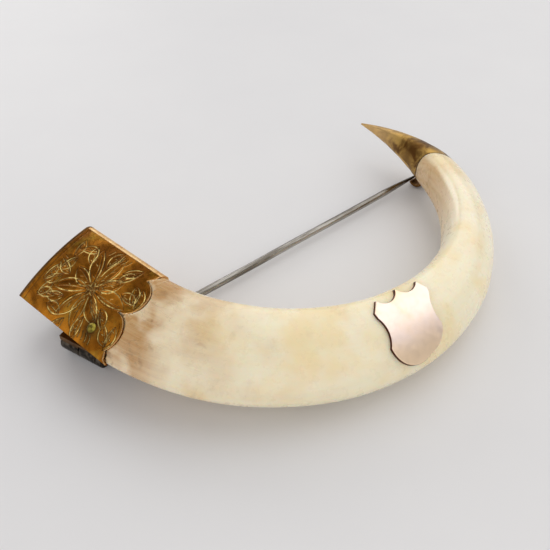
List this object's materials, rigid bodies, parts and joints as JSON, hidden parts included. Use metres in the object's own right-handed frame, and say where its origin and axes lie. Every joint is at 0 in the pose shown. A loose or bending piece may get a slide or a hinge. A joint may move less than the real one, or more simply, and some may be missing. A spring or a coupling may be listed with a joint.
{
  "type": "tusk brooch",
  "caption": "Crescent brooch of polished tusk with an engraved root cap, a plain tip cap, a shield cartouche, and a hinged pin that springs into a C-catch on the back.",
  "frame": {"origin": "middle of the whole brooch's plan, on the table it lies on", "axes": "+Z out of the front face, +X along the pin from the root cap to the point, +Y from the belly of the crescent towards its open side"},
  "size_m": [0.0655, 0.0396, 0.0114],
  "materials": {
    "tusk": "gloss",
    "cap_gold": "satin",
    "tip_gold": "gloss",
    "rose_gold": "gloss",
    "aged_gold": "satin",
    "rivet_gold": "gloss",
    "dark_steel": "satin",
    "pin_steel": "gloss",
    "filler": "matte"
  },
  "bodies": {
    "brooch": {"tusk": "tusk", "root_filler": "filler", "cap_front_plate": "cap_gold", "cap_side_wall": "rose_gold", "cap_back_plate": "aged_gold", "cap_end_plate": "cap_gold", "cap_rivet": "rivet_gold", "tip_cap": "tip_gold", "shield_plate": "rose_gold", "shield_pegs": "rose_gold", "hinge_base": "aged_gold", "hinge_knuckles": "dark_steel", "catch_saddle": "aged_gold", "catch_hook": "aged_gold"},
    "rivet": {"hinge_rivet": "pin_steel"},
    "pin": {"pin_knuckle": "dark_steel", "pin_stem": "pin_steel"}
  },
  "joints": [
    {"name": "pin_swing", "type": "hinge", "parent": "brooch", "child": "rivet", "pos_m": [-0.02855, 0.00885, 0.00135], "axis": [-0.342, 0.9397, 0], "range_deg": [0, 110]},
    {"name": "pin_sway", "type": "hinge", "parent": "rivet", "child": "pin", "pos_m": [-0.02855, 0.00885, 0.00135], "axis": [0, 0, 1], "range_deg": [0, 3]}
  ]
}
